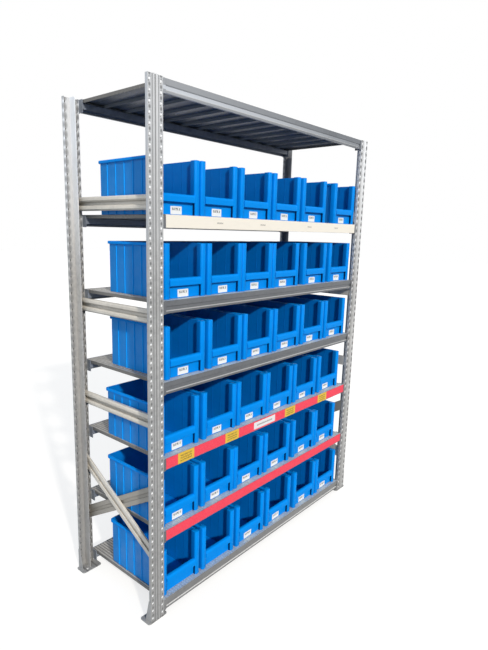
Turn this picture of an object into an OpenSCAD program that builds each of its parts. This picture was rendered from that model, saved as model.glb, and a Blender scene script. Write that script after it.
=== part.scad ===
// Bin shelving: perforated uprights, stepped beams, steel plank decks, braced side frames
// and rows of open-fronted plastic bins that pull out towards the front.
// The origin is on the floor under the middle of the rack, the front faces -Y and +Z is up.

/* [Rack] */
// Width over the uprights
rack_w = 1520; // [1480:1:2000]
// Depth over the uprights
rack_d = 500; // [460:1:700]
// Height from the floor to the top of the uprights
rack_h = 2000; // [1980:1:2400]
// Height of the lowest deck above the floor
first_shelf = 67; // [64:1:90]
// Shelves that carry bins, below the bare top shelf
bin_shelves = 6; // [4:1:6]
// Hole pitches from one bin shelf to the next
shelf_holes = 9; // [8:1:10]

/* [Uprights] */
// Width of an upright's perforated face
post_w = 66; // [62:1:75]
// Depth of the lips along both edges of the face
post_lip = 12; // [12:0.5:16]
// Sheet thickness of an upright
post_t = 2.5; // [2:0.1:2.7]
// Pitch of the keyholes up the face and of the slots up the inner lip
hole_pitch = 33.3; // [32:0.1:34]
// Distance from the face's edge to the middle of a keyhole column
hole_edge = 8.5; // [8:0.1:10]
// Radius of a keyhole's head
hole_r = 4.6; // [3:0.1:5]
// Radius of a keyhole's narrow tail
tail_r = 2.8; // [2:0.1:3]
// Distance from a keyhole's head down to its tail
tail_drop = 8.5; // [6:0.5:10]
// Lean of a keyhole, in degrees
hole_lean = 18; // [0:1:25]
// Width of the raised bead down the middle of the face
bead_w = 26; // [20:1:28]
// Height of the bead above the face
bead_h = 4; // [1:0.5:5]
// Width of the groove down the middle of the bead
groove_w = 9; // [6:0.5:12]
// Depth of the stem that runs up behind the middle of the face
stem_d = 38; // [30:0.5:45]
// Thickness of the stem
stem_t = 4; // [3:0.5:5]

/* [Feet] */
// Thickness of a foot's base plate
foot_t = 4; // [3:0.5:6]
// How far the base plate stands out in front of the face
foot_front = 2; // [1:0.5:15]
// How far the base plate stands out beyond the outer lip
foot_side = 13; // [8:0.5:20]
// How far the base plate reaches past the inner edge of the upright
foot_inner = 16; // [5:0.5:30]
// How far the base plate reaches behind the face
foot_back = 54; // [50:0.5:80]
// Corner radius of the base plate
foot_round = 9; // [4:0.5:12]
// Radius of the floor anchor hole
anchor_r = 5.5; // [4:0.5:7]
// Distance from the face back to the floor anchor hole
anchor_back = 38; // [30:0.5:42]
// Distance from the middle of the stem out to the floor anchor hole
anchor_side = 16; // [14:0.5:18]
// Height of the side wing that holds the outer lip
wing_h = 95; // [60:1:140]
// Sheet thickness of the side wing
wing_t = 2.5; // [2:0.5:4]
// Depth of the side wing at its foot
wing_d = 32; // [30:1:50]

/* [Beams] */
// Height of a beam's front
beam_h = 46; // [44:1:54]
// Sheet thickness of a beam
beam_t = 2; // [1.5:0.1:2.5]
// How far the beam's front lies behind the face of the uprights
beam_back = 2; // [2:0.1:4]
// Depth of the ledge that carries the planks
ledge_d = 30; // [20:1:40]
// Height of the upper band of a beam's front
band_h = 20; // [18:0.5:24]
// Step back from the upper band to the middle band
band_step = 3; // [1:0.5:5]
// Height of the rolled bead along the bottom of the front
roll_h = 8; // [6:0.5:10]
// Height of the wall behind the ledge, from the deck down
back_h = 36; // [28:1:42]
// Thickness of an end connector
end_t = 3; // [2:0.5:4]
// Height of an end connector
end_h = 48; // [47:0.5:50]
// Depth of an end connector along the upright's lip
end_d = 36; // [30:1:45]
// Length of the connector's tab over the beam's front
tab_l = 12; // [8:0.5:16]
// Corner radius of the tab
tab_round = 5; // [2:0.5:8]
// Distance from the deck down to the middle of the upper lug
lug_drop = 8; // [8:0.5:9]
// Height of a connector's lug
lug_h = 10; // [6:0.5:10]
// Thickness of a connector's lug, front to back
lug_t = 5; // [3:0.5:5]
// Clearance of a lug in its slot
lug_gap = 0.5; // [0.3:0.1:1]

/* [Strips] */
// Thickness of a label strip
strip_t = 1; // [0.5:0.1:1.5]
// Height of the cream strip
cream_h = 45; // [40:0.5:45]
// Height of a red strip
red_h = 43; // [30:0.5:45]
// Gap between a strip and the connector tabs, and below the deck
strip_gap = 0.5; // [0.3:0.1:2]
// Lower of the two bin shelves with red strips, counted from the floor
red_shelf = 2; // [1:1:2]

/* [Decks] */
// Width of a steel plank
plank_w = 105; // [80:0.5:140]
// Height of a plank, from the ledge to the deck
plank_h = 14; // [10:0.5:17]
// Sheet thickness of a plank
plank_t = 1.5; // [1:0.1:2]
// Gap between neighbouring planks, and at the end connectors
plank_gap = 1.1; // [0.5:0.1:3]
// Clearance of a plank's ends inside the beams
plank_end = 1; // [0.5:0.1:2]
// Ribs along the top of a plank
plank_ribs = 8; // [4:1:8]
// Height of a rib
rib_h = 1.5; // [0.5:0.1:2]
// Width of a rib at its top
rib_w = 4; // [2:0.5:5]

/* [Side frames] */
// Height of the middle of the lowest level brace
brace_z = 802; // [700:1:900]
// Spacing of the level braces
brace_step = 402; // [380:1:405]
// Level braces in each side frame
brace_count = 3; // [1:1:3]
// Height of a level brace
brace_h = 53; // [47:1:60]
// Depth of a level brace
brace_d = 16; // [12:1:20]
// Height of a crossed brace
cross_h = 53; // [44:1:60]
// Depth of a crossed brace
cross_d = 8; // [8:0.5:12]
// Height of the outer crossed brace at the front upright
cross_z = 224; // [200:1:300]
// Rise of the crossed braces from one upright to the other
cross_rise = 290; // [200:1:320]
// How much higher the inner crossed brace lies
cross_lift = 31; // [0:1:40]
// Sheet thickness of the braces
brace_t = 2; // [1.5:0.1:2.5]
// Open slot along the outer side of a brace
brace_slot = 13; // [8:0.5:16]
// Gap between the braces and the uprights' faces, and between crossed braces
brace_gap = 0.5; // [0.3:0.1:1]
// Shank radius of a frame rivet
rivet_r = 3; // [2:0.1:3.5]
// Head radius of a frame rivet
rivet_head_r = 4.5; // [3.8:0.1:4.6]
// Head height of a frame rivet
rivet_head_h = 2.5; // [1.5:0.1:3]
// Radial clearance of a rivet in its hole
rivet_gap = 0.2; // [0.1:0.05:0.4]

/* [Bins] */
// Width of a bin over its rim
bin_w = 210; // [150:1:220]
// Length of a bin, front to back
bin_d = 350; // [300:1:400]
// Height of a bin
bin_h = 200; // [160:1:230]
// Least gap between neighbouring bins of a row
bin_gap = 1; // [0.5:0.5:10]
// Wall thickness of a bin
bin_t = 3; // [2:0.1:4]
// Height of the rim
rim_h = 11; // [6:0.5:16]
// How far the rim stands out from the walls
rim_out = 7; // [4:0.5:10]
// Width of a front corner column
column_w = 25; // [20:0.5:32]
// Depth of a front corner column
column_d = 28; // [22:0.5:36]
// Edge bevel of the front corner columns
column_bevel = 5; // [2:0.5:8]
// Height of the front bar's top above the deck
bar_top = 75; // [60:1:95]
// Height of the front bar's face
bar_h = 29; // [20:1:40]
// Bevel along the top edge of the front bar
bar_bevel = 7; // [4:0.5:9]
// How far the label panel lies behind the front
panel_back = 14; // [10:0.5:18]
// Spacing of the ribs along the outside of the side walls
side_rib_pitch = 51; // [40:1:70]
// Width of a side rib
side_rib_w = 5; // [3:0.5:8]
// Height of a side rib above its wall
side_rib_h = 2.5; // [1:0.5:4]
// Gap between a bin's floor and the deck
bin_lift = 0.2; // [0.1:0.05:0.3]
// Clearance of a row of bins at the uprights
row_gap = 2; // [1:0.5:4]

/* [Hidden] */
$fn = 48;

// Free space along each row of bins as shares, from the left upright to the right one.
// The first row stands on the lowest shelf.
row_spaces = [
  [5, 16, 16, 19, 30, 6, 26],
  [1, 15, 0, 12, 27, 0, 63],
  [1, 21, 8, 4, 14, 22, 48],
  [25, 18, 13, 11, 16, 13, 22],
  [25, 10, 0, 2, 43, 28, 10],
  [1, 2, 16, 9, 15, 74, 1]
];
// Distance of the first and the last bin of each row behind the face of the uprights
row_back = [[16, 13], [21, 16], [22, 22], [18, 18], [21, 20], [35, 15]];

// Clear width between the uprights
bay_w = rack_w - 2 * post_w;
bay_half = bay_w / 2;
half_w = rack_w / 2;
half_d = rack_d / 2;

// Bins that fit in a row between the uprights
row_room = bay_w - 2 * row_gap;
bins_per_row = floor(row_room / (bin_w + bin_gap));

// Deck heights: the bin shelves, then the bare top shelf at the highest slot
top_holes = floor((rack_h - first_shelf) / hole_pitch);
bin_levels = [for (i = [0 : bin_shelves - 1]) first_shelf + i * shelf_holes * hole_pitch];
levels = concat(bin_levels, [first_shelf + top_holes * hole_pitch]);

// Slots up the inner lip line up with the lugs of every shelf
slot_t = lug_t + 2 * lug_gap;
slot_h = lug_h + 2 * lug_gap;
slot_back = (post_lip + post_t) / 2;
slot_low = first_shelf - lug_drop - hole_pitch;
slot_count = top_holes + 2;

// Keyholes up the face, their heads with an even margin at both ends
post_z = foot_t;
post_len = rack_h - foot_t;
hole_count = floor((post_len - 2 * (hole_r + tail_drop)) / hole_pitch) + 1;
hole_low = (post_len - (hole_count - 1) * hole_pitch) / 2;

// The inner face of the inner lip, where the braces sit
lip_inner = half_w - post_w + post_t;

// Names of the nodes
function bin_name(row, col) = str("bin_row", row + 1, "_", col + 1);
function shelf_name(i) = i < bin_shelves ? str("shelf", i + 1) : "top_shelf";
sides = ["left", "right"];
ends = ["front", "rear"];

steel = [0.72, 0.73, 0.72];

// The four corners: the drawing is for the front right one and is mirrored to the others
module at_corner(right, rear) {
  mirror([right ? 0 : 1, 0, 0])
    mirror([0, rear ? 1 : 0, 0])
      children();
}

module at_all_corners() {
  for (right = [false, true])
    for (rear = [false, true])
      at_corner(right, rear)
        children();
}

// Nearest height between two slots, where a rivet clears both
function between_slots(z) =
  slot_low + hole_pitch * (round((z - slot_low) / hole_pitch - 0.5) + 0.5);

// Middle height of a crossed brace at a distance behind the front face
function cross_height(inner, y) =
  let (along = (y + half_d) / rack_d)
  cross_z + (inner ? cross_lift + cross_rise * (1 - along) : cross_rise * along);

// Heights of the rivets at one upright: level braces, then the outer and the inner crossed brace
rivet_y = half_d - slot_back;
function level_rivets() =
  [for (i = [0 : brace_count - 1]) between_slots(brace_z + i * brace_step)];
function cross_rivet(inner, rear) =
  between_slots(cross_height(inner, rear ? rivet_y : -rivet_y));

// One keyhole: a round head, a leaning neck and a narrow tail
module keyhole(lean) {
  circle(r = hole_r);
  rotate(lean) {
    translate([-tail_r, -tail_drop])
      square([2 * tail_r, tail_drop]);
    translate([0, -tail_drop])
      circle(r = tail_r);
  }
}

// The flat of the face beside the bead, from its edge to just under the bead
module brim_outline(lean) {
  brim_w = (post_w - bead_w) / 2 + post_t;
  difference() {
    square([brim_w, post_len]);
    for (i = [0 : hole_count - 1])
      translate([hole_edge, hole_low + i * hole_pitch])
        keyhole(lean);
  }
}

// Section of the bead, seen from above, with the groove down its middle
module bead_section() {
  half = bead_w / 2;
  flat = half - bead_h;
  groove = groove_w / 2;
  polygon([
    [-half - post_t, 0],
    [-half, 0],
    [-flat, -bead_h],
    [-groove - bead_h / 2, -bead_h],
    [-groove + bead_h / 2, 0],
    [groove - bead_h / 2, 0],
    [groove + bead_h / 2, -bead_h],
    [flat, -bead_h],
    [half, 0],
    [half + post_t, 0],
    [half + post_t, post_t],
    [-half - post_t, post_t]
  ]);
}

// The inner lip with its column of slots and its rivet holes, drawn flat
module lip_outline(rear) {
  difference() {
    square([post_lip, post_len]);
    for (i = [0 : slot_count - 1])
      translate([slot_back - slot_t / 2, slot_low - post_z + i * hole_pitch - slot_h / 2])
        square([slot_t, slot_h]);
    for (z = concat(level_rivets(), [cross_rivet(false, rear), cross_rivet(true, rear)]))
      translate([slot_back, z - post_z])
        circle(r = rivet_r + rivet_gap);
  }
}

// One upright, drawn at the front right corner
module upright(rear) {
  color(steel)
    translate([half_w, -half_d, post_z]) {
      translate([-post_w, post_t, 0])
        rotate([90, 0, 0])
          linear_extrude(post_t)
            brim_outline(hole_lean);
      mirror([1, 0, 0])
        translate([0, post_t, 0])
          rotate([90, 0, 0])
            linear_extrude(post_t)
              brim_outline(-hole_lean);
      translate([-post_w / 2, 0, 0])
        linear_extrude(post_len)
          bead_section();
      translate([-post_w / 2 - stem_t / 2, 0, 0])
        cube([stem_t, stem_d, post_len]);
      translate([-post_t, 0, 0])
        cube([post_t, post_lip, post_len]);
      translate([-post_w, 0, 0])
        rotate([90, 0, 90])
          linear_extrude(post_t)
            lip_outline(rear);
    }
}

// Base plate with its anchor hole, and the wing outside the outer lip
module foot_plate() {
  plate_w = foot_inner + post_w + foot_side;
  plate_d = foot_front + foot_back;
  color(steel)
    translate([half_w, -half_d, 0]) {
      translate([foot_side - plate_w, -foot_front, 0])
        linear_extrude(foot_t)
          difference() {
            rounded_plate(plate_w, plate_d, foot_round);
            translate([foot_inner + post_w / 2 + anchor_side, foot_front + anchor_back])
              circle(r = anchor_r);
          }
      rotate([90, 0, 90])
        linear_extrude(wing_t)
          polygon([[0, 0], [wing_d, 0], [wing_d, foot_t], [post_lip, wing_h], [0, wing_h]]);
    }
}

module rounded_plate(w, d, r) {
  translate([r, 0])
    square([w - 2 * r, d]);
  translate([0, r])
    square([w, d - 2 * r]);
  for (x = [r, w - r])
    for (y = [r, d - r])
      translate([x, y])
        circle(r = r);
}

module foot_plates() {
  at_all_corners()
    foot_plate();
}

// Section of a beam: depth behind its front, height above its deck
module beam_section() {
  t = beam_t;
  step_low = beam_h - roll_h - band_step;
  polygon([
    [0, 0],
    [0, -band_h],
    [band_step, -band_h - band_step],
    [band_step, -step_low],
    [0, -step_low - band_step],
    [0, -beam_h],
    [roll_h, -beam_h],
    [roll_h, -beam_h + t],
    [t, -beam_h + t],
    [t, -step_low - band_step],
    [band_step + t, -step_low],
    [band_step + t, -band_h - band_step],
    [t, -band_h],
    [t, -plank_h - t],
    [ledge_d - t, -plank_h - t],
    [ledge_d - t, -back_h],
    [ledge_d, -back_h],
    [ledge_d, -plank_h],
    [t, -plank_h],
    [t, 0]
  ]);
}

// End connector at the right end of a front beam: plate on the lip, tab on the front, two lugs
module end_connector() {
  translate([bay_half - end_t, -half_d, -end_h - strip_gap])
    cube([end_t, end_d, end_h]);
  translate([bay_half, beam_back - half_d, -end_h - strip_gap])
    rotate([90, 0, 0])
      linear_extrude(beam_back)
        translate([-tab_l, 0])
          tab_outline();
  for (z = [-lug_drop, -lug_drop - hole_pitch])
    translate([bay_half - end_t / 2, slot_back - lug_t / 2 - half_d, z - lug_h / 2 - lug_gap])
      cube([end_t / 2 + post_t, lug_t, lug_h]);
}

// The tab over the beam's front, rounded away from the upright
module tab_outline() {
  translate([tab_round, 0])
    square([tab_l - tab_round, end_h]);
  translate([0, tab_round])
    square([tab_l, end_h - 2 * tab_round]);
  for (z = [tab_round, end_h - tab_round])
    translate([tab_round, z])
      circle(r = tab_round);
}

// One beam with both connectors, at deck height zero
module beam() {
  run = bay_w - end_t;
  translate([-run / 2, beam_back - half_d, 0])
    rotate([90, 0, 90])
      linear_extrude(run)
        beam_section();
  for (right = [false, true])
    mirror([right ? 0 : 1, 0, 0])
      end_connector();
}

module front_beam(i) {
  color(steel)
    translate([0, 0, levels[i]])
      beam();
}

module rear_beams() {
  color(steel)
    for (z = levels)
      translate([0, 0, z])
        mirror([0, 1, 0])
          beam();
}

// A flat strip on the front of one shelf's beam
module strip(level, h) {
  run = bay_w - 2 * tab_l - 2 * strip_gap;
  translate([-run / 2, beam_back - strip_t - half_d, level - strip_gap - h])
    cube([run, strip_t, h]);
}

module cream_strip() {
  color([0.98, 0.94, 0.86])
    strip(bin_levels[bin_shelves - 1], cream_h);
}

module red_strips() {
  color([0.93, 0.25, 0.32])
    for (i = [red_shelf, red_shelf + 1])
      strip(bin_levels[i - 1], red_h);
}

// Section of a plank, seen from the front: a tray upside down with ribs along its top
module plank_section() {
  half = plank_w / 2;
  inner = half - plank_t;
  pitch = plank_w / plank_ribs;
  foot = rib_w / 2 + rib_h;
  top = [
    for (i = [plank_ribs - 1 : -1 : 0])
      let (x = (i + 0.5) * pitch - half)
        each [[x + foot, -rib_h], [x + rib_w / 2, 0], [x - rib_w / 2, 0], [x - foot, -rib_h]]
  ];
  polygon(concat(
    [[half, -plank_h], [half, -rib_h]],
    top,
    [[-half, -rib_h], [-half, -plank_h], [-inner, -plank_h]],
    [[-inner, -rib_h - plank_t], [inner, -rib_h - plank_t], [inner, -plank_h]]
  ));
}

// All planks of one deck, side by side between the end connectors
module deck(z) {
  pitch = plank_w + plank_gap;
  room = bay_w - 2 * end_t;
  count = floor((room - plank_gap) / pitch);
  run = rack_d - 2 * (beam_back + beam_t + plank_end);
  color(steel)
    for (i = [0 : count - 1])
      translate([(i - (count - 1) / 2) * pitch, run / 2, z])
        rotate([90, 0, 0])
          linear_extrude(run)
            plank_section();
}

// Decks of the bin shelves, in a lower and an upper half
half_shelves = ceil(bin_shelves / 2);

module planks_lower_decks() {
  for (i = [0 : half_shelves - 1])
    deck(bin_levels[i]);
}

module planks_upper_decks() {
  for (i = [half_shelves : bin_shelves - 1])
    deck(bin_levels[i]);
}

module planks_top_deck() {
  deck(levels[bin_shelves]);
}

// Upper half of a lipped channel: web, flange and a lip that rolls in at both edges.
// The rolls stay clear of the rivet heads on the web.
module half_channel(d, h) {
  t = brace_t;
  half = h / 2;
  slot = brace_slot / 2;
  roll = min((d - t - rivet_head_h) / 2, (half - slot) / 3);
  bend = t * tan(22.5);
  skew = t * sin(45);
  polygon([
    [0, 0],
    [0, half],
    [d - roll, half],
    [d, half - roll],
    [d, slot + roll],
    [d - roll, slot],
    [d - roll - skew, slot + skew],
    [d - t, slot + roll + bend],
    [d - t, half - roll - bend],
    [d - roll - bend, half - t],
    [t, half - t],
    [t, 0]
  ]);
}

// Lipped channel with its open slot outwards: depth from the web, height about the middle
module channel_section(d, h) {
  half_channel(d, h);
  mirror([0, 1])
    half_channel(d, h);
}

// Level braces of the right side frame: webs against the inner lips
module frame_braces() {
  run = rack_d - 2 * (post_t + brace_gap);
  color(steel)
    for (right = [false, true])
      mirror([right ? 0 : 1, 0, 0])
        difference() {
          for (i = [0 : brace_count - 1])
            translate([lip_inner, run / 2, brace_z + i * brace_step])
              rotate([90, 0, 0])
                linear_extrude(run)
                  channel_section(brace_d, brace_h);
          for (z = level_rivets())
            rivet_holes(z, z, lip_inner, brace_t);
        }
}

// Holes through a web for the front and the rear rivet of one brace
module rivet_holes(z_front, z_rear, x, t) {
  for (end = [[-rivet_y, z_front], [rivet_y, z_rear]])
    translate([x - t, end[0], end[1]])
      rotate([0, 90, 0])
        cylinder(h = 3 * t, r = rivet_r + rivet_gap);
}

// One crossed brace, cut off square behind the uprights' faces
module cross_brace(inner) {
  x = lip_inner + (inner ? 0 : cross_d + brace_gap);
  angle = atan2(cross_rise, rack_d) * (inner ? -1 : 1);
  run = rack_d - 2 * (post_t + brace_gap);
  reach = 2 * norm([rack_d, cross_rise]);
  room = 2 * cross_rise + 2 * cross_h;
  difference() {
    intersection() {
      translate([x, 0, cross_height(inner, 0)])
        rotate([angle, 0, 0])
          translate([0, reach / 2, 0])
            rotate([90, 0, 0])
              linear_extrude(reach)
                channel_section(cross_d, cross_h);
      translate([x - cross_d, -run / 2, cross_height(inner, 0) - room / 2])
        cube([3 * cross_d, run, room]);
    }
    rivet_holes(cross_rivet(inner, false), cross_rivet(inner, true), x, brace_t);
  }
}

module cross_braces() {
  color(steel)
    for (right = [false, true])
      mirror([right ? 0 : 1, 0, 0]) {
        cross_brace(true);
        cross_brace(false);
      }
}

// A rivet flush with the bay side of the lip; a collar keeps the outer crossed brace off the lip
module rivet(y, z, collar) {
  web = lip_inner + collar;
  translate([half_w - post_w, y, z])
    rotate([0, 90, 0])
      cylinder(h = web + brace_t + rivet_head_h - half_w + post_w, r = rivet_r);
  translate([web + brace_t, y, z])
    rotate([0, 90, 0])
      cylinder(h = rivet_head_h, r = rivet_head_r);
  if (collar > 0)
    translate([lip_inner, y, z])
      rotate([0, 90, 0])
        cylinder(h = collar, r = rivet_head_r);
}

module frame_rivets() {
  color([0.6, 0.61, 0.6])
    for (right = [false, true])
      mirror([right ? 0 : 1, 0, 0])
        for (rear = [false, true]) {
          y = rear ? rivet_y : -rivet_y;
          for (z = level_rivets())
            rivet(y, z, 0);
          rivet(y, cross_rivet(true, rear), 0);
          rivet(y, cross_rivet(false, rear), cross_d + brace_gap);
        }
}

// Sum of the first n entries of a list, taken round again past its end
function sum_to(list, n) = n <= 0 ? 0 : list[(n - 1) % len(list)] + sum_to(list, n - 1);

// Middle of a bin along its row
function bin_x(row, col) =
  let (spaces = row_spaces[row])
  let (pitch = bin_w + bin_gap)
  let (free = row_room - bins_per_row * pitch)
  let (shares = sum_to(spaces, bins_per_row + 1))
  (col + 0.5) * pitch - row_room / 2 + free * sum_to(spaces, col + 1) / shares;

// Distance of a bin behind the face of the uprights
function bin_back(row, col) =
  let (ends = row_back[row])
  ends[0] + (ends[1] - ends[0]) * col / max(1, bins_per_row - 1);

// A front corner column, seen from above, with bevelled front edges
module column_outline(inset) {
  b = column_bevel - inset / 2;
  x0 = inset;
  x1 = column_w - inset;
  polygon([[x0 + b, inset], [x1 - b, inset], [x1, inset + b], [x1, column_d - inset], [x0, column_d - inset],
    [x0, inset + b]]);
}

// Front of a bin, seen from the side: floor edge, label panel and the bar that hangs over it
module bar_section() {
  t = bin_t;
  low = bar_top - bar_h;
  polygon([
    [panel_back, 0],
    [panel_back, bar_top - t],
    [bar_bevel, bar_top - t],
    [t, bar_top - bar_bevel],
    [t, low],
    [0, low],
    [0, bar_top - bar_bevel],
    [bar_bevel - t / 2, bar_top],
    [panel_back + t, bar_top],
    [panel_back + t, 0]
  ]);
}

// A bin with its front at y = 0, standing on z = 0
module bin_shell() {
  half = bin_w / 2;
  wall = half - rim_out;
  back = bin_d - rim_out;
  rib_count = floor((back - column_d) / side_rib_pitch);
  opening = bin_w - 2 * column_w;
  difference() {
    union() {
      translate([-wall, panel_back, 0])
        cube([2 * wall, back - panel_back, bin_h]);
      translate([-half, column_d / 2, bin_h - rim_h])
        cube([bin_w, bin_d - column_d / 2, rim_h]);
      for (side = [0, 1])
        mirror([side, 0, 0]) {
          translate([-half, 0, 0])
            linear_extrude(bin_h)
              column_outline(0);
          for (i = [1 : rib_count])
            translate([-wall - side_rib_h, back - i * side_rib_pitch - side_rib_w / 2, 0])
              cube([2 * side_rib_h, side_rib_w, bin_h - rim_h / 2]);
        }
      translate([-opening / 2 - bin_t, 0, 0])
        rotate([90, 0, 90])
          linear_extrude(opening + 2 * bin_t)
            bar_section();
    }
    translate([-wall + bin_t, column_d, bin_t])
      cube([2 * (wall - bin_t), back - bin_t - column_d, bin_h]);
    translate([-opening / 2, panel_back + bin_t, bin_t])
      cube([opening, column_d, bin_h]);
    translate([-opening / 2, -bin_t, bar_top])
      cube([opening, column_d, bin_h]);
    for (side = [0, 1])
      mirror([side, 0, 0])
        translate([-half, 0, -bin_t])
          linear_extrude(bin_h)
            column_outline(bin_t);
  }
}

module bin(row, col) {
  color([0.05, 0.5, 0.92])
    translate([bin_x(row, col), bin_back(row, col) - half_d, bin_levels[row] + bin_lift])
      bin_shell();
}

for (rear = [0, 1])
  for (right = [0, 1])
    at_corner(right == 1, rear == 1)
        upright(rear == 1);
foot_plates();
frame_braces();
cross_braces();
frame_rivets();
rear_beams();
cream_strip();
red_strips();
for (i = [0 : bin_shelves])
  front_beam(i);
planks_lower_decks();
planks_upper_decks();
planks_top_deck();
for (row = [0 : bin_shelves - 1])
  for (col = [0 : bins_per_row - 1])
    bin(row, col);
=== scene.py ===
"""Bin shelving: a galvanised rack with six rows of blue pick bins, seen from its front left corner.

The rack keeps its CAD shapes and gets procedural steel. The bins are rebuilt as moulded boxes with
rounded edges, and the paper labels on the bins and on the beams are added as pieces of their own.
Units are metres in the part's own frame: floor at z = 0, front towards -Y.
"""

import math
import random

import bmesh
import bpy
from mathutils import Matrix, Vector


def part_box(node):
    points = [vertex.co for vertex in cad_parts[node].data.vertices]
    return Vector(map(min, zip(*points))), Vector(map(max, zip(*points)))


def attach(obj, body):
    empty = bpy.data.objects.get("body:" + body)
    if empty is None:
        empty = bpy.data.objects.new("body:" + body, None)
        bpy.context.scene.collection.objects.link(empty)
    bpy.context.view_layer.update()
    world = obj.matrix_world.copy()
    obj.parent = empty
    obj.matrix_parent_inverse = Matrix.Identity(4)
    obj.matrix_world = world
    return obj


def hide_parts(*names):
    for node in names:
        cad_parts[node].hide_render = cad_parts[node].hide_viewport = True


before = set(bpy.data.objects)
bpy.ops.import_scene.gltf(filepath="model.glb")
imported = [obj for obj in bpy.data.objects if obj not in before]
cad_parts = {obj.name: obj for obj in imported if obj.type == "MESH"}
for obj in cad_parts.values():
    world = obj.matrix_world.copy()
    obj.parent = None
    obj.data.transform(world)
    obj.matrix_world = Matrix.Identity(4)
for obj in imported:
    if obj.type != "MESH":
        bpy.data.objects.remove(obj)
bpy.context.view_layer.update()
rng = random.Random(7)

MM = 0.001

# Places read from the frame: span over the front uprights, front of their beads, inner side of the
# outermost plank's edge, top of the highest beam
left_post, right_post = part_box("upright_front_left"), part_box("upright_front_right")
POST_SPAN = right_post[1].x - left_post[0].x
BEAD_FRONT = -left_post[0].y
DECK_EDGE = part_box("planks_top_deck")[1].x - 4 * MM
TOP_BEAM_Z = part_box("front_beam_top_shelf")[1].z

# Bin sizes, as in the part's source
BIN_W, BIN_D, BIN_H = 210 * MM, 350 * MM, 200 * MM
WALL_T = 3 * MM
RIM_OUT, RIM_H = 7 * MM, 11 * MM
COLUMN_W, COLUMN_D = 25 * MM, 28 * MM
BAR_TOP, BAR_H, BAR_ROUND = 75 * MM, 29 * MM, 11 * MM
PANEL_BACK = 14 * MM
RIB_PITCH, RIB_W, RIB_OUT = 51 * MM, 5 * MM, 2.5 * MM
WALL_X = BIN_W / 2 - RIM_OUT
WALL_BACK = BIN_D - RIM_OUT
OPENING = BIN_W / 2 - COLUMN_W

# Roundings and small forms of the bins that are made here alone
WALL_CORNER = 10 * MM
COLUMN_ROUND, COLUMN_CREASE, COLUMN_EDGE = 8 * MM, 1.5 * MM, 1.8 * MM
INNER_BEAD = 0.7 * MM
LIP = 1.2 * MM
FLOOR_INSET = 6 * MM

# Material slots of a bin's mesh, in the order in which they are added, and the slack with which faces
# are picked for them by their place
# Slots: EDGE paints a highlight on the outer ribs, DEEP and INSIDE paint shade, SIDE paints sky light
# on the outer side walls
MAIN, EDGE, DEEP, INSIDE, SIDE = range(5)
SLACK = 0.1 * MM

# Upright sizes, as in the part's source
POST_T, POST_W, BEAD_H, BEAD_W = 2.5 * MM, 66 * MM, 4 * MM, 26 * MM
HOLE_EDGE, HOLE_PITCH, LOWEST_HOLE = 8.5 * MM, 33.3 * MM, 19.65 * MM

# Strips behind the keyholes: half width, distance from an upright's ends, depths from the sheet's back
BACKING_HALF, BACKING_END = 5.8 * MM, 4 * MM
BACKING_DEPTHS = (0.4 * MM, 0.2 * MM)

# Beam, plank and brace sizes, as in the part's source
BAND_TOP, BAND_LOW = 23 * MM, 35 * MM
PLANK_W, PLANK_PITCH, RIB_STEP = 105 * MM, 106.1 * MM, 105 * MM / 8
CROSS_SPLIT = 704.75 * MM

# Where the colour changes: heights on the uprights, where they turn paler above and darker below, and
# depth of the deck's front strip
PALE_ABOVE, DARKER_BELOW, DARKER_LOW_REAR_LEFT = (1.25, 1.85), (0.05, 0.8), (0.7, 1.6)
# The deck's front strip carries a painted reflection and weaker painted shade between its ribs
FRONT_STRIP = (-0.22, -0.18)

# Paper labels on the bins, on the upper red strip and on the cream strip; a bin's label is shifted by
# up to LABEL_SHIFT millimetres and tilted by up to LABEL_TILT degrees
LABEL_W, LABEL_H, LABEL_T = 55 * MM, 28.5 * MM, 0.4 * MM
LABEL_LEFT, LABEL_UP, LABEL_CORNER = 6 * MM, 17.5 * MM, 1.5 * MM
LABEL_SHIFT, LABEL_TILT = 3, 1.2
BARE_BINS = ("bin_row1_1", "bin_row1_2")
YELLOW_W, YELLOW_H = 88 * MM, 44 * MM
LONG_W, LONG_H = 162 * MM, 32 * MM
MARK_W, MARK_H = 48 * MM, 14 * MM
PAPER_CORNER = 1 * MM
MARKS_X = (-0.404, -0.133, 0.231, 0.483)

# Camera: the photograph's frame and the view found from the uprights' holes
IMAGE_W, IMAGE_H = 488, 650
FOCAL_PX = 507.5
CENTRE_PX = (225.6, 333.6)
CAMERA_AT = (-1.8819, -1.5857, 1.5088)
CAMERA_FORWARD = (0.7374, 0.6466, -0.1956)
CAMERA_RIGHT = (0.6624, -0.7488, 0.0219)
SENSOR = 36.0

# Light: the sun's strength, width in degrees, colour and direction, the colours of the ground and the
# sky and where one turns into the other, and how much brighter both are at the left
SUN_ENERGY, SUN_ANGLE, SUN_COLOUR = 2.95, 3, (1.0, 0.97, 0.92)
SUN_TOWARDS = (0.44, 1.0, -0.6)
GROUND_LIGHT, SKY_LIGHT = (0.08, 0.10, 0.125, 1), (0.40, 0.45, 0.52, 1)
HORIZON = (-0.2, 0.3)
LEFT_RANGE, LEFT_GAIN = (-0.2, -1.0), 2.6

# Floor: half its side and its own glow
FLOOR_HALF, FLOOR_GLOW = 30, 0.72


# Mesh helpers

# Edges that turn by more than this many degrees stay sharp
SMOOTH_ANGLE = 32


def corner_arc(centre, radius, start, sweep, steps):
    """Points of an arc, from angle start through sweep degrees."""
    return [
        (
            centre[0] + radius * math.cos(math.radians(start + sweep * i / steps)),
            centre[1] + radius * math.sin(math.radians(start + sweep * i / steps)),
        )
        for i in range(steps + 1)
    ]


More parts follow.
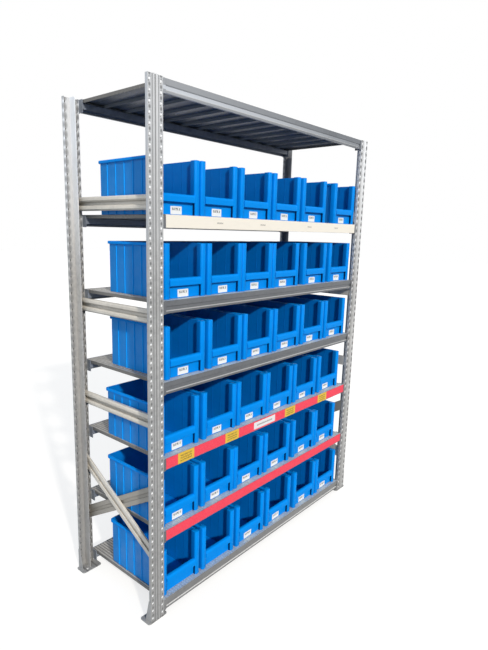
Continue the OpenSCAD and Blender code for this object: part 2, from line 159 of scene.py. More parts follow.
def rounded_rect(x0, x1, y0, y1, radii, steps=4):
    """Outline of a rectangle; radii are those of the corners x0y0, x1y0, x1y1, x0y1."""
    a, b, c, d = radii
    return (
        corner_arc((x0 + a, y0 + a), a, 180, 90, steps)
        + corner_arc((x1 - b, y0 + b), b, 270, 90, steps)
        + corner_arc((x1 - c, y1 - c), c, 0, 90, steps)
        + corner_arc((x0 + d, y1 - d), d, 90, 90, steps)
    )


def loft(bm, loops, slot=MAIN):
    """Skin a row of closed loops with the same count of points, and cap both ends."""
    rows = [[bm.verts.new(p) for p in loop] for loop in loops]
    count = len(rows[0])
    for low, high in zip(rows, rows[1:]):
        for i in range(count):
            j = (i + 1) % count
            bm.faces.new((low[i], low[j], high[j], high[i])).material_index = slot
    for cap in (rows[0], rows[-1]):
        bm.faces.new(cap).material_index = slot


def soft_block(bm, x0, x1, y0, y1, z0, z1, radii, edge):
    """Upright block with rounded corners in plan and a softened top and bottom edge."""
    levels = [(edge, z0), (edge * 0.3, z0 + edge * 0.3), (0, z0 + edge)]
    levels += [(0, z1 - edge), (edge * 0.3, z1 - edge * 0.3), (edge, z1)]
    loops = []
    for inset, z in levels:
        rounds = [max(r - inset, edge * 0.2) for r in radii]
        outline = rounded_rect(x0 + inset, x1 - inset, y0 + inset, y1 - inset, rounds)
        loops.append([(x, y, z) for x, y in outline])
    loft(bm, loops)


def mesh_from(bm, name):
    bmesh.ops.recalc_face_normals(bm, faces=bm.faces)
    mesh = bpy.data.meshes.new(name)
    bm.to_mesh(mesh)
    bm.free()
    mesh.shade_smooth()
    mesh.set_sharp_from_angle(angle=math.radians(SMOOTH_ANGLE))
    return mesh


def place(mesh, name, location, rotation=(0, 0, 0)):
    obj = bpy.data.objects.new(name, mesh)
    obj.location = location
    obj.rotation_euler = rotation
    bpy.context.scene.collection.objects.link(obj)
    return obj


# Material helpers


class Nodes:
    """Short calls for the nodes that materials and the world use here."""

    def __init__(self, tree):
        self.nodes = tree.nodes
        self.links = tree.links

    def node(self, kind, inputs=None, **options):
        made = self.nodes.new(kind)
        for key, value in options.items():
            setattr(made, key, value)
        for key, value in (inputs or {}).items():
            if isinstance(value, bpy.types.NodeSocket):
                self.links.new(value, made.inputs[key])
            else:
                made.inputs[key].default_value = value
        return made

    def separate(self, vector):
        return self.node("ShaderNodeSeparateXYZ", {"Vector": vector}).outputs

    def spread(self, value, low, high, out_low, out_high):
        inputs = {"Value": value, "From Min": low, "From Max": high}
        inputs.update({"To Min": out_low, "To Max": out_high})
        return self.node("ShaderNodeMapRange", inputs).outputs["Result"]

    def math(self, operation, a, b):
        return self.node("ShaderNodeMath", {0: a, 1: b}, operation=operation).outputs[0]

    def absolute(self, a):
        return self.math("ABSOLUTE", a, 0.0)

    def mix(self, factor, a, b):
        return self.node("ShaderNodeMix", {0: factor, 6: a, 7: b}, data_type="RGBA").outputs[2]


class Material(Nodes):
    """A node material whose patterns lie in the object's own coordinates."""

    def __init__(self, name):
        self.material = bpy.data.materials.new(name)
        self.material.use_nodes = True
        super().__init__(self.material.node_tree)
        self.shader = self.nodes["Principled BSDF"]
        self.coords = self.node("ShaderNodeTexCoord").outputs["Object"]

    def set(self, **sockets):
        for name, value in sockets.items():
            self.shader.inputs[name.replace("_", " ")].default_value = value

    def join(self, source, target):
        self.links.new(source, self.shader.inputs[target])

    def axes(self):
        return self.separate(self.coords)

    def facing_up(self):
        return self.separate(self.node("ShaderNodeNewGeometry").outputs["True Normal"])["Z"]

    def scaled(self, scale):
        return self.node("ShaderNodeMapping", {"Vector": self.coords, "Scale": scale}).outputs["Vector"]

    def noise(self, scale, detail=3.0, vector=None, rough=0.55):
        inputs = {"Vector": vector or self.coords, "Scale": scale, "Detail": detail, "Roughness": rough}
        return self.node("ShaderNodeTexNoise", inputs).outputs["Fac"]

    def bump(self, height, strength, distance, normal=None):
        inputs = {"Height": height, "Strength": strength, "Distance": distance}
        if normal:
            inputs["Normal"] = normal
        return self.node("ShaderNodeBump", inputs).outputs["Normal"]


def grey(value, warm=0.0):
    return (value * (1 + warm), value, value * (1 - 1.6 * warm), 1.0)


def galvanised(
    name, tone, streak_scale, metallic=0.3, rough=(0.34, 0.56), warm=0.02, mottle=1.0, marks=None
):
    """Zinc-coated sheet: crystal spangle, drawn streaks, dull bloom and softened edges."""
    m = Material(name)
    spangle = m.node("ShaderNodeTexVoronoi", {"Vector": m.coords, "Scale": 95.0, "Randomness": 1.0})
    crystal = m.node("ShaderNodeSeparateColor", {"Color": spangle.outputs["Color"]}).outputs[0]
    streaks = m.noise(1.0, 4.0, m.scaled(streak_scale))
    bloom = m.noise(5.5, 5.0)
    stains = m.noise(45.0, 3.0, None, 0.7)
    shade = m.mix(m.spread(bloom, 0.35, 0.7, 0, 1), grey(tone * 0.8, warm), grey(tone * 1.1, warm))
    shade = m.mix(m.spread(streaks, 0.3, 0.7, 0, 0.6), shade, grey(tone * 0.8, warm))
    shade = m.mix(m.spread(crystal, 0, 1, 0, 0.4 * mottle), shade, grey(tone * 1.3, warm))
    shade = m.mix(m.spread(stains, 0.52, 0.75, 0, 0.5 * mottle), shade, grey(tone * 0.5, warm))
    # marks adds a part's own marks, among them painted shade, painted highlights and painted
    # reflections
    if marks:
        shade = marks(m, shade, tone)
    m.join(shade, "Base Color")
    grain = m.math("ADD", streaks, m.math("MULTIPLY", crystal, mottle))
    m.join(m.spread(grain, 0.4, 0.6 + mottle, *rough), "Roughness")
    edge = m.node("ShaderNodeBevel", {"Radius": 1.2 * MM}, samples=4).outputs["Normal"]
    m.join(m.bump(m.noise(240.0, 2.0), 0.12 * mottle, 0.4 * MM, edge), "Normal")
    m.set(Metallic=metallic)
    return m.material


def shaded_inner_brace(m, shade, tone):
    """Painted shade: the inner one of two crossed braces is painted darker zinc."""
    inner = m.math("LESS_THAN", m.absolute(m.axes()["X"]), CROSS_SPLIT)
    return m.mix(m.math("MULTIPLY", inner, 0.85), shade, grey(tone * 0.38, 0.09))


def rib_valleys(m, along):
    """The valleys between a plank's ribs: 1 in a valley and 0 on a rib."""
    planks = m.math("ADD", m.math("DIVIDE", along, PLANK_PITCH), 0.5)
    plank = m.math("SUBTRACT", m.math("FRACT", planks, 0.0), 0.5)
    from_edge = m.math("ADD", m.math("MULTIPLY", plank, PLANK_PITCH), PLANK_W / 2)
    phase = m.math("FRACT", m.math("DIVIDE", from_edge, RIB_STEP), 0.0)
    return m.spread(m.absolute(m.math("SUBTRACT", phase, 0.5)), 0.22, 0.4, 0.0, 1.0)


def deck_painted_light(m, shade, tone):
    """Painted shade between the ribs, a painted reflection along the front, dull zinc and painted shade
    underneath, dull zinc in the seams.
    """
    facing = m.facing_up()
    axes = m.axes()
    # Painted shade in the valleys between the ribs, weaker along the front strip
    valley_shade = m.math("MULTIPLY", rib_valleys(m, axes["X"]), m.spread(axes["Y"], *FRONT_STRIP, 0.2, 0.75))
    shade = m.mix(valley_shade, shade, grey(tone * 0.3, 0.04))
    # Painted reflection: pale bluish zinc along the front strip
    shade = m.mix(m.spread(axes["Y"], *FRONT_STRIP, 0.6, 0.0), shade, (0.55, 0.66, 0.73, 1))
    inside = m.math("LESS_THAN", m.absolute(axes["X"]), DECK_EDGE)
    seams = m.math("MULTIPLY", m.spread(facing, 0.1, 0.5, 1.0, 0.0), inside)
    under = m.spread(facing, -0.7, -0.2, 1.0, 0.0)
    dull = m.math("MAXIMUM", under, seams)
    m.set(Specular_IOR_Level=0.04)
    m.join(m.spread(dull, 0.0, 1.0, 0.24, 0.0), "Metallic")
    # Painted shade: the underside is painted darker than the seams
    dark = m.mix(under, grey(tone * 0.9), grey(tone * 0.48))
    return m.mix(m.math("MULTIPLY", dull, 0.97), shade, dark)


def painted_lit_ledges(m, shade, tone):
    """Painted highlight: brighter zinc on the narrow faces that look up, a beam's top edge and its
    lower step.
    """
    return m.mix(m.spread(m.facing_up(), 0.3, 0.6, 0.0, 0.8), shade, grey(tone * 3.2, 0.02))


def top_beam_painted_light(m, shade, tone):
    """Painted highlights on the ledges, and a painted reflection that makes the zinc paler towards the
    left end, most of all on the middle band.
    """
    axes = m.axes()
    shade = m.mix(m.spread(axes["X"], 0.4, -0.6, 0.0, 1.0), shade, grey(tone * 1.85, -0.03))
    below = m.math("SUBTRACT", TOP_BEAM_Z, axes["Z"])
    under_top = m.math("GREATER_THAN", below, BAND_TOP)
    band = m.math("MULTIPLY", under_top, m.math("LESS_THAN", below, BAND_LOW))
    pale = m.math("MULTIPLY", band, m.spread(axes["X"], 0.6, -0.7, 0.15, 0.85))
    shade = m.mix(pale, shade, grey(tone * 3.6, -0.04))
    return painted_lit_ledges(m, shade, tone * 0.9)


def hole_steps(m, height):
    """Height above the lowest keyhole, in hole pitches."""
    return m.math("DIVIDE", m.math("SUBTRACT", height, LOWEST_HOLE), HOLE_PITCH)


def patch_shade_mask(m, across, height, half):
    """Soft round patches of painted shade between the keyholes of an upright: 1 in the middle and
    fading to 0.
    """
    outer = POST_SPAN / 2
    columns = (outer - HOLE_EDGE, outer - POST_W + HOLE_EDGE)
    near = [m.absolute(m.math("SUBTRACT", across, c)) for c in columns]
    aside = m.math("DIVIDE", m.math("MINIMUM", *near), half[0])
    along = m.math("SUBTRACT", m.math("FRACT", hole_steps(m, height), 0.0), 0.43)
    along = m.math("DIVIDE", along, half[1] / HOLE_PITCH)
    far = m.math("ADD", m.math("POWER", aside, 2.0), m.math("POWER", along, 2.0))
    return m.spread(far, 0.1, 1.0, 1.0, 0.0)


def crease_mask(m, across, depth):
    """The groove and the feet of an upright's bead, on its outer face, where shade is painted: 1 inside
    and fading to 0.
    """
    aside = m.absolute(m.math("SUBTRACT", across, POST_SPAN / 2 - POST_W / 2))
    foot = m.absolute(m.math("SUBTRACT", aside, BEAD_W / 2))
    groove = m.spread(aside, 1 * MM, 4 * MM, 1, 0)
    crease = m.math("MAXIMUM", groove, m.spread(foot, 0.5 * MM, 3.5 * MM, 1, 0))
    face = BEAD_FRONT - BEAD_H - 0.5 * MM
    return m.math("MULTIPLY", crease, m.math("GREATER_THAN", m.absolute(depth), face))


def upright_tone_and_shade(m, shade, tone, patch=0.7, patch_half=(6 * MM, 8 * MM)):
    """Paler towards the top, painted shade in patches between the keyholes and in the creases, darker
    towards the bottom.
    """
    axes = m.axes()
    across = m.absolute(axes["X"])
    shade = m.mix(m.spread(axes["Z"], *PALE_ABOVE, 0.0, 1.0), shade, grey(tone * 1.45, -0.005))
    # Painted shade in patches between the keyholes
    patches = m.math("MULTIPLY", patch_shade_mask(m, across, axes["Z"], patch_half), patch)
    shade = m.mix(patches, shade, grey(tone * 0.18))
    # Painted shade in the groove and at the feet of the bead
    shade = m.mix(m.math("MULTIPLY", crease_mask(m, across, axes["Y"]), 0.75), shade, grey(tone * 0.4))
    return m.mix(m.spread(axes["Z"], *DARKER_BELOW, 0.3, 0.0), shade, grey(tone * 0.4, 0.04))


def painted_keyhole_glints(m, shade, tone):
    """Painted highlights: bright spots at the heads of the keyholes, plain steel at their tails."""
    step = hole_steps(m, m.axes()["Z"])
    off_head = m.absolute(m.math("SUBTRACT", step, m.math("ROUND", step, 0.0)))
    spots = m.spread(off_head, 4 * MM / HOLE_PITCH, 6 * MM / HOLE_PITCH, 1.0, 0.0)
    return m.mix(spots, shade, grey(0.95))


def front_right_tone_and_shade(m, shade, tone):
    """Patches of painted shade that are taller and darker than on the left upright."""
    return upright_tone_and_shade(m, shade, tone, 1.0, (9 * MM, 13 * MM))


def rear_left_tone_and_shade(m, shade, tone):
    """Wide patches of painted shade, a face painted darker than the stem before it as shade, darker
    towards the bottom.
    """
    axes = m.axes()
    shade = upright_tone_and_shade(m, shade, tone, 0.8, (14 * MM, 18 * MM))
    # Painted shade: the face behind the stem is painted darker
    face = m.math("GREATER_THAN", axes["Y"], BEAD_FRONT - BEAD_H - POST_T - 0.5 * MM)
    shade = m.mix(m.math("MULTIPLY", face, 0.5), shade, grey(tone * 0.45, 0.03))
    return m.mix(m.spread(axes["Z"], *DARKER_LOW_REAR_LEFT, 0.55, 0.0), shade, grey(tone * 0.4, 0.02))


def moulded_plastic(name, colour, pale, dark, gloss=0.2):
    """Injection-moulded polypropylene: fine grain, faint flow bands and scuffs."""
    m = Material(name)
    flow = m.noise(1.0, 3.0, m.scaled((5.0, 5.0, 16.0)))
    scuffs = m.noise(1.0, 6.0, m.scaled((60.0, 60.0, 9.0)), 0.7)
    tint = m.mix(m.spread(flow, 0.3, 0.7, 0, 1), dark, colour)
    tint = m.mix(m.spread(scuffs, 0.62, 0.8, 0, 0.35), tint, pale)
    m.join(tint, "Base Color")
    m.join(m.spread(m.noise(35.0, 4.0), 0.3, 0.7, 0.36, 0.52), "Roughness")
    m.join(m.bump(m.noise(900.0, 2.0), 0.1, 0.2 * MM), "Normal")
    m.set(IOR=1.49, Specular_IOR_Level=gloss)
    return m.material


def card(name, colour, worn, gloss=0.5):
    """Printed card or tape on a beam: matt, with handling marks and a little unevenness."""
    m = Material(name)
    marks = m.noise(1.0, 6.0, m.scaled((14.0, 14.0, 60.0)), 0.68)
    fibres = m.noise(420.0, 3.0)
    tint = m.mix(m.spread(marks, 0.5, 0.8, 0, 0.5), colour, worn)
    tint = m.mix(m.spread(fibres, 0.3, 0.7, 0, 0.08), tint, (1, 1, 1, 1))
    m.join(tint, "Base Color")
    m.join(m.spread(marks, 0.3, 0.7, 0.5, 0.66), "Roughness")
    m.join(m.bump(m.noise(18.0, 3.0), 0.12, 0.8 * MM), "Normal")
    m.set(Specular_IOR_Level=gloss)
    return m.material


def printed_label(name, paper, ink, width, height, lines):
    """Paper label with rows of broken dashes that stand for print and hold no lettering."""
    m = Material(name)
    axes = m.axes()
    across = m.math("DIVIDE", axes["X"], width)
    up = m.math("DIVIDE", axes["Z"], height)
    inside = m.math("LESS_THAN", m.absolute(across), 0.36)
    ink_rows = None
    for centre, half in lines:
        row = m.math("LESS_THAN", m.absolute(m.math("SUBTRACT", up, centre)), half)
        ink_rows = row if ink_rows is None else m.math("MAXIMUM", ink_rows, row)
    dashes = m.noise(1.0, 0.0, m.scaled((520.0, 1.0, 90.0)))
    field = m.math("MULTIPLY", inside, ink_rows)
    printed = m.math("MULTIPLY", m.math("GREATER_THAN", dashes, 0.46), field)
    fibres = m.noise(300.0, 4.0)
    base = m.mix(m.spread(fibres, 0.3, 0.7, 0, 0.12), paper, grey(0.7, 0.02))
    m.join(m.mix(m.math("MULTIPLY", printed, 0.8), base, ink), "Base Color")
    m.join(m.spread(fibres, 0.3, 0.7, 0.5, 0.62), "Roughness")
    m.join(m.bump(fibres, 0.08, 0.2 * MM), "Normal")
    m.set(Specular_IOR_Level=0.25)
    return m.material


# Materials

UPRIGHT_STREAKS = (30.0, 30.0, 1.6)
BEAM_STREAKS = (1.6, 30.0, 30.0)
PLANK_STREAKS = (30.0, 1.6, 30.0)
BRACE_STREAKS = (30.0, 1.6, 8.0)
CREAM = (0.9, 0.83, 0.71, 1)


def upright_steel(name, tone, warm=0.01, marks=upright_tone_and_shade):
    return galvanised(name, tone, UPRIGHT_STREAKS, 0.12, (0.36, 0.56), warm, 1.0, marks)


steel_upright = upright_steel("galvanised_upright", 0.4)
steel_front_right = upright_steel("galvanised_front_right", 0.5, 0.02, front_right_tone_and_shade)
steel_rear_left = upright_steel("galvanised_rear_left", 0.64, 0.045, rear_left_tone_and_shade)
# Painted shade: the rear right upright has a dark tone that stands for the shade it lies in
steel_rear_right_shaded = upright_steel("galvanised_rear_right_shaded", 0.2, -0.1)
# Painted reflection: the front beams' dark tones stand for the dark ground that their zinc reflects
steel_top_beam = galvanised(
    "galvanised_top_beam", 0.19, BEAM_STREAKS, 0.3, (0.3, 0.5), -0.06, 0.7, top_beam_painted_light
)
steel_beam = galvanised(
    "galvanised_beam", 0.155, BEAM_STREAKS, 0.3, (0.3, 0.5), -0.04, 0.7, painted_lit_ledges
)
steel_low_beam = galvanised(
    "galvanised_low_beam", 0.21, BEAM_STREAKS, 0.3, (0.3, 0.5), 0.01, 0.7, painted_lit_ledges
)
steel_rear_beam = galvanised("galvanised_rear_beam", 0.27, BEAM_STREAKS, 0.2, (0.3, 0.5), -0.08)
steel_deck = galvanised(
    "galvanised_deck", 0.42, PLANK_STREAKS, 0.2, (0.18, 0.36), 0.05, 0.1, deck_painted_light
)
steel_brace = galvanised("galvanised_brace", 0.66, BRACE_STREAKS, 0.2, (0.28, 0.46), 0.085, 0.4)
steel_cross = galvanised(
    "galvanised_cross", 0.66, BRACE_STREAKS, 0.2, (0.28, 0.46), 0.085, 0.4, shaded_inner_brace
)
steel_rivet = galvanised("zinc_rivet", 0.36, (60.0, 60.0, 60.0))
# Sheets seen through the keyholes: painted highlights in the front uprights, a dark sheet of painted
# shade in the rear ones
glint_backing = galvanised("keyhole_glint", 0.33, UPRIGHT_STREAKS, 0.0, (0.5, 0.7), 0.01, 1.0, painted_keyhole_glints)
shade_backing = galvanised("keyhole_shade", 0.1, UPRIGHT_STREAKS, 0.0, (0.5, 0.7))
blue = moulded_plastic(
    "bin_blue", (0.0, 0.265, 0.8, 1), (0.01, 0.31, 0.83, 1), (0.0, 0.235, 0.75, 1), 0.08
)
# Painted shade: a darker copy of the bin blue for the inner faces and the columns' inner flanks
blue_shaded_inside = moulded_plastic(
    "bin_blue_inside", (0.0, 0.158, 0.53, 1), (0.0, 0.18, 0.56, 1), (0.0, 0.137, 0.48, 1), 0.08
)
# Painted highlight: a paler copy of the bin blue for the outer ribs
blue_lit_edge = moulded_plastic(
    "bin_blue_edge", (0.0, 0.33, 0.85, 1), (0.03, 0.38, 0.85, 1), (0.0, 0.29, 0.8, 1)
)
# Painted shade: a near black copy of the bin blue for the sheets on the columns' flanks
blue_deep_shade = moulded_plastic(
    "bin_blue_deep", (0.0, 0.02, 0.09, 1), (0.0, 0.03, 0.1, 1), (0.0, 0.015, 0.07, 1)
)
# Painted light: a greyer copy of the bin blue for the outer side walls, standing for the pale sky light
# on them
blue_skylit_side = moulded_plastic(
    "bin_blue_side", (0.018, 0.275, 0.74, 1), (0.06, 0.335, 0.77, 1), (0.013, 0.25, 0.7, 1)
)
cream = card("cream_card", CREAM, (0.8, 0.74, 0.64, 1))
red = card("red_card", (0.9, 0.035, 0.075, 1), (0.78, 0.035, 0.07, 1), 0.2)
white_label = printed_label(
    "bin_label_paper", (0.8, 0.8, 0.785, 1), (0.06, 0.05, 0.06, 1), LABEL_W, LABEL_H, ((0.15, 0.16),)
)


# Rack: the CAD shapes with their steels


def paint(node, material):
    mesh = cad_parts[node].data
    mesh.materials.clear()
    mesh.materials.append(material)


LOOKS = {
    "upright_front_left": steel_upright,
    "upright_front_right": steel_front_right,
    "upright_rear_left": steel_rear_left,
    "upright_rear_right": steel_rear_right_shaded,
    "foot_plates": steel_upright,
    "front_beam_top_shelf": steel_top_beam,
    "front_beam_shelf1": steel_low_beam,
    "rear_beams": steel_rear_beam,
    "frame_braces": steel_brace,
    "cross_braces": steel_cross,
    "frame_rivets": steel_rivet,
    "cream_strip": cream,
    "red_strips": red,
}
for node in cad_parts:
    if node in LOOKS:
        paint(node, LOOKS[node])
    elif node.startswith("front_beam"):
        paint(node, steel_beam)
    elif node.startswith("planks"):
        paint(node, steel_deck)


# Backing in the keyholes: painted highlights as bright spots in the front uprights, a dark sheet of
# painted shade in the rear ones


def add_backing(node, material):
    """Thin strips inside the sheet of an upright's face, which show only through its keyholes."""
    low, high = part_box(node)
    rear = 1 if low.y + high.y > 0 else -1
    face = rear * (BEAD_FRONT - BEAD_H)
    depths = sorted(face - rear * (POST_T - d) for d in BACKING_DEPTHS)
    bm = bmesh.new()
    for middle in (low.x + HOLE_EDGE, high.x - HOLE_EDGE):
        x0, x1 = middle - BACKING_HALF, middle + BACKING_HALF
        ring = [(x0, depths[0]), (x1, depths[0]), (x1, depths[1]), (x0, depths[1])]
        ends = (low.z + BACKING_END, high.z - BACKING_END)
        loft(bm, [[(x, y, z) for x, y in ring] for z in ends])
    mesh = mesh_from(bm, node + "_backing")
    mesh.materials.append(material)
    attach(place(mesh, node + "_backing", (0, 0, 0)), "rack")


for side in ("left", "right"):
    add_backing("upright_front_" + side, glint_backing)
    add_backing("upright_rear_" + side, shade_backing)


# Bins: one moulded shape, used in all places


def wall_path(steps=6):
    """Line of the outer wall from the left column round the back to the right one, with its normals."""
    r = WALL_CORNER
    left = [((-WALL_X, COLUMN_D * 0.7), (-1, 0)), ((-WALL_X, WALL_BACK - r), (-1, 0))]
    bend = []
    for i in range(1, steps + 1):
        a = math.radians(180 - 90 * i / steps)
        normal = (math.cos(a), math.sin(a))
        bend.append(((-WALL_X + r + r * normal[0], WALL_BACK - r + r * normal[1]), normal))
    half = left + bend
    return half + [((-p[0], p[1]), (-n[0], n[1])) for p, n in reversed(half)]


def wall_profile():
    """Section of a side wall as outward offset and height: floor edge, wall and rolled rim."""
    rim_low = BIN_H - RIM_H
    edge = 2 * MM
    return [
        (-8 * MM, 0.0),
        (-edge, 0.0),
        (-0.6 * MM, 0.6 * MM),
        (0.0, edge),
        (0.0, rim_low - 1.5 * MM),
        (0.6 * MM, rim_low - 0.4 * MM),
        (1.6 * MM, rim_low),
        (RIM_OUT - 1.5 * MM, rim_low),
        (RIM_OUT - 0.4 * MM, rim_low + 0.4 * MM),
        (RIM_OUT, rim_low + 1.5 * MM),
        (RIM_OUT, BIN_H - edge),
        (RIM_OUT - 0.6 * MM, BIN_H - 0.6 * MM),
        (RIM_OUT - edge, BIN_H),
        (-WALL_T + 1.2 * MM, BIN_H),
        (-WALL_T + 0.3 * MM, BIN_H - 0.3 * MM),
        (-WALL_T, BIN_H - 1.2 * MM),
        (-WALL_T, WALL_T + 4 * MM),
        (-WALL_T - 1.2 * MM, WALL_T + 1.2 * MM),
        (-WALL_T - 4 * MM, WALL_T),
        (-8 * MM, WALL_T),
    ]


def add_walls(bm):
    profile = wall_profile()
    loops = []
    for (x, y), (nx, ny) in wall_path():
        loops.append([(x + nx * out, y + ny * out, z) for out, z in profile])
    loft(bm, loops)
    for face in bm.faces:
        middle = face.calc_center_median()
        inner = abs(middle.x) < WALL_X - WALL_T * 0.8 and middle.y < WALL_BACK - WALL_T * 0.8
        # Inner faces take the darker blue of painted shade, outer side faces the greyer blue of painted
        # sky light
        if inner and middle.z > WALL_T * 0.9:
            face.material_index = INSIDE
        elif abs(middle.x) > WALL_X - SLACK and middle.z < BIN_H - RIM_H:
            face.material_index = SIDE


def add_columns(bm):
    half = BIN_W / 2
    for side in (-1, 1):
        x0, x1 = sorted((side * half, side * OPENING))
        radii = [COLUMN_ROUND, COLUMN_ROUND, COLUMN_CREASE, COLUMN_CREASE]
        soft_block(bm, x0, x1, 0.0, COLUMN_D, 0.0, BIN_H, radii, COLUMN_EDGE)
    # The columns' inner flanks above the bar take the darker blue of painted shade
    for face in bm.faces:
        middle = face.calc_center_median()
        if abs(abs(middle.x) - OPENING) < SLACK and middle.z > BAR_TOP:
            face.material_index = INSIDE


def add_front(bm):
    """Label panel and the bar that hangs over it: a section in depth and height, run across."""
    low = BAR_TOP - BAR_H
    r, t = BAR_ROUND, WALL_T
    outer = corner_arc((r, BAR_TOP - r), r, 180, -90, 6)
    inner = corner_arc((r, BAR_TOP - r), r - t, 90, 90, 4)
    outline = (
        [(0.0, low + LIP)]
        + outer
        + [(PANEL_BACK + t - LIP, BAR_TOP), (PANEL_BACK + t, BAR_TOP - LIP)]
        + [(PANEL_BACK + t, 0.0), (PANEL_BACK + 1 * MM, 0.0), (PANEL_BACK, 1 * MM)]
        + [(PANEL_BACK, BAR_TOP - t - 1.5 * MM), (PANEL_BACK - 1.5 * MM, BAR_TOP - t)]
        + inner
        + [(t, low + LIP), (t - LIP, low), (LIP, low)]
    )
    reach = OPENING + 1 * MM
    loft(bm, [[(x, y, z) for y, z in outline] for x in (-reach, reach)])


def add_floor(bm):
    x, y0, y1 = WALL_X - FLOOR_INSET, PANEL_BACK + 1 * MM, WALL_BACK - FLOOR_INSET
    soft_block(bm, -x, x, y0, y1, 0.0, WALL_T, [2 * MM] * 4, 0.3 * MM)


def add_ribs(bm):
    """Upright ribs outside each side wall, and the shallow beads that show inside behind them."""
    count = math.floor((WALL_BACK - COLUMN_D) / RIB_PITCH)
    half, crown, inner = RIB_W / 2, RIB_W * 0.28, WALL_X - WALL_T
    for side in (-1, 1):
        for i in range(1, count + 1):
            y = WALL_BACK - i * RIB_PITCH
            # Outer ribs take the paler blue of a painted highlight, inner beads the darker blue of
            # painted shade
            for base, out, z0, z1, slot in (
                (WALL_X - 1 * MM, WALL_X + RIB_OUT, 0.5 * MM, BIN_H - RIM_H * 0.5, EDGE),
                (inner + 1 * MM, inner - INNER_BEAD, WALL_T, BIN_H - 3 * MM, INSIDE),
            ):
                section = [(base, y - half), (out, y - crown), (out, y + crown), (base, y + half)]
                loft(bm, [[(side * x, v, z) for x, v in section] for z in (z0, z1)], slot)


def add_flank_shade_sheets(bm):
    """Dark sheets of painted shade on the columns' flanks, below the bar at both ends of the label
    panel.
    """
    y0, y1 = 4 * MM, PANEL_BACK - 0.5 * MM
    z0, z1 = 3 * MM, BAR_TOP - BAR_H - 1 * MM
    for side in (-1, 1):
        x0, x1 = side * (OPENING - 0.2 * MM), side * (OPENING + 0.5 * MM)
        ring = [(x0, y0), (x1, y0), (x1, y1), (x0, y1)]
        loft(bm, [[(x, y, z) for x, y in ring] for z in (z0, z1)], DEEP)


def make_bin_mesh():
    bm = bmesh.new()
    add_walls(bm)
    add_columns(bm)
    add_front(bm)
    add_floor(bm)
    add_ribs(bm)
    add_flank_shade_sheets(bm)
    mesh = mesh_from(bm, "pick_bin")
    for material in (blue, blue_lit_edge, blue_deep_shade, blue_shaded_inside, blue_skylit_side):
        mesh.materials.append(material)
    return mesh


def sheet_mesh(name, width, height, corner, material):
    """A thin paper label, upright in XZ and facing -Y, with its middle at the origin."""
    bm = bmesh.new()
    outline = rounded_rect(-width / 2, width / 2, -height / 2, height / 2, [corner] * 4)
    loft(bm, [[(x, y, z) for x, z in outline] for y in (-LABEL_T / 2, LABEL_T / 2)])
    mesh = mesh_from(bm, name)
    mesh.materials.append(material)
    return mesh


bin_mesh = make_bin_mesh()
label_mesh = sheet_mesh("bin_label", LABEL_W, LABEL_H, LABEL_CORNER, white_label)

bin_nodes = sorted(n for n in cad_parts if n.startswith("bin_"))
for node in bin_nodes:
    low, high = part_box(node)
    front = Vector(((low.x + high.x) / 2, low.y, low.z))
    shell = place(bin_mesh, node + "_moulding", front)
    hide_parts(node)
    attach(shell, node)
    shift = rng.uniform(-LABEL_SHIFT, LABEL_SHIFT) * MM
    tilt = math.radians(rng.uniform(-LABEL_TILT, LABEL_TILT))
    if node in BARE_BINS:
        continue
    spot = front + Vector((shift - LABEL_LEFT, PANEL_BACK - LABEL_T / 2, LABEL_UP))
    label = place(label_mesh, node + "_label", spot, (0, tilt, 0))
    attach(label, node)


# Labels on the upper red strip

strip_low, strip_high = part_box("red_strips")
yellow_label = printed_label(
    "yellow_label_paper",
    (0.77, 0.48, 0.02, 1),
    (0.2, 0.13, 0.03, 1),
    YELLOW_W,
    YELLOW_H,
    ((0.22, 0.08), (-0.02, 0.08), (-0.26, 0.08)),
)
long_label = printed_label(
    "long_label_paper", (0.8, 0.79, 0.775, 1), (0.12, 0.1, 0.1, 1), LONG_W, LONG_H, ((0.0, 0.12),)
)
yellow_mesh = sheet_mesh("yellow_label", YELLOW_W, YELLOW_H, PAPER_CORNER, yellow_label)
long_mesh = sheet_mesh("long_label", LONG_W, LONG_H, PAPER_CORNER, long_label)
# Kind, mesh and middle along the beam
STRIP_LABELS = (
    ("yellow", yellow_mesh, -0.576),
    ("yellow", yellow_mesh, -0.299),
    ("white", long_mesh, -0.066),
    ("yellow", yellow_mesh, 0.142),
    ("yellow", yellow_mesh, 0.446),
)
for i, (kind, mesh, x) in enumerate(STRIP_LABELS, 1):
    spot = (x, strip_low.y - LABEL_T / 2, strip_high.z - YELLOW_H / 2 + 0.5 * MM)
    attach(place(mesh, f"strip_label_{i}_{kind}", spot), "rack")


# Faint marks printed on the cream strip

mark_label = printed_label(
    "cream_mark_paper", CREAM, (0.25, 0.22, 0.2, 1), MARK_W, MARK_H, ((0.0, 0.2),)
)
mark_mesh = sheet_mesh("cream_mark", MARK_W, MARK_H, PAPER_CORNER, mark_label)
cream_low, cream_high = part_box("cream_strip")
for i, x in enumerate(MARKS_X, 1):
    spot = (x, cream_low.y - LABEL_T / 2 + 0.3 * MM, (cream_low.z + cream_high.z) / 2)
    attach(place(mark_mesh, f"cream_mark_{i}", spot), "rack")


# Floor, light and camera


def make_floor():
    """Pale floor that glows a little, so that the shadow on it stays faint."""
    bm = bmesh.new()
    bmesh.ops.create_grid(bm, x_segments=2, y_segments=2, size=FLOOR_HALF)
    mesh = mesh_from(bm, "studio_floor")
    m = Material("pale_floor")
    cloud = m.spread(m.noise(0.8, 3.0), 0.3, 0.7, 0, 1)
    m.join(m.mix(cloud, grey(0.31, 0.05), grey(0.34, 0.05)), "Base Color")
    m.set(Roughness=0.8, Emission_Color=(1, 1, 1, 1), Emission_Strength=FLOOR_GLOW)
    mesh.materials.append(m.material)
    floor = place(mesh, "studio_floor", (0, 0, -0.5 * MM))
    floor.visible_diffuse = False
    floor.visible_glossy = False


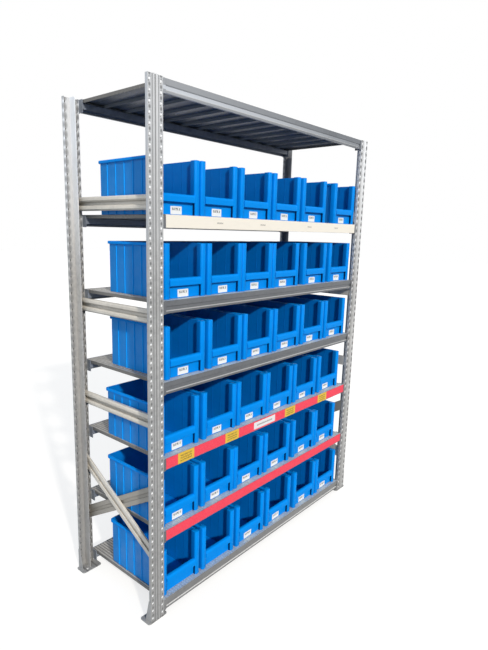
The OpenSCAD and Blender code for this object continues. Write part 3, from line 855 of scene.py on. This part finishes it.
def make_world():
    """White for the camera and in reflections; as light, a pale sky and a dim ground."""
    world = bpy.data.worlds.new("studio")
    bpy.context.scene.world = world
    world.use_nodes = True
    w = Nodes(world.node_tree)
    w.nodes.clear()
    white = w.node("ShaderNodeBackground", {"Color": (1, 1, 1, 1)}).outputs[0]
    axes = w.separate(w.node("ShaderNodeTexCoord").outputs["Generated"])
    sky = w.mix(w.spread(axes["Z"], *HORIZON, 0.0, 1.0), GROUND_LIGHT, SKY_LIGHT)
    gain = w.spread(axes["X"], *LEFT_RANGE, 1.0, LEFT_GAIN)
    light = w.node("ShaderNodeBackground", {"Color": sky, "Strength": gain}).outputs[0]
    path = w.node("ShaderNodeLightPath").outputs
    seen = w.math("MAXIMUM", path["Is Camera Ray"], path["Is Glossy Ray"])
    seen = w.math("MAXIMUM", seen, path["Is Transmission Ray"])
    both = w.node("ShaderNodeMixShader", {0: seen, 1: light, 2: white}).outputs[0]
    w.node("ShaderNodeOutputWorld", {"Surface": both})


def make_key_light():
    """Key light from the front, to the left and above, as the shadows in the bins show."""
    key = bpy.data.lights.new("key", "SUN")
    key.energy = SUN_ENERGY
    key.angle = math.radians(SUN_ANGLE)
    key.color = SUN_COLOUR
    obj = bpy.data.objects.new("key", key)
    bpy.context.scene.collection.objects.link(obj)
    obj.rotation_euler = Vector(SUN_TOWARDS).to_track_quat("-Z", "Y").to_euler()


def make_camera():
    data = bpy.data.cameras.new("photo_view")
    data.sensor_fit = "AUTO"
    data.sensor_width = SENSOR
    data.lens = SENSOR * FOCAL_PX / IMAGE_H
    data.shift_x = (IMAGE_W / 2 - CENTRE_PX[0]) / IMAGE_H
    data.shift_y = (CENTRE_PX[1] - IMAGE_H / 2) / IMAGE_H
    camera = bpy.data.objects.new("photo_view", data)
    bpy.context.scene.collection.objects.link(camera)
    forward = Vector(CAMERA_FORWARD).normalized()
    right = (Vector(CAMERA_RIGHT) - forward * forward.dot(Vector(CAMERA_RIGHT))).normalized()
    up = right.cross(forward)
    turn = Matrix((right, up, -forward)).transposed()
    camera.matrix_world = Matrix.Translation(CAMERA_AT) @ turn.to_4x4()
    bpy.context.scene.camera = camera


make_floor()
make_world()
make_key_light()
make_camera()
bpy.context.scene.view_settings.view_transform = "Standard"
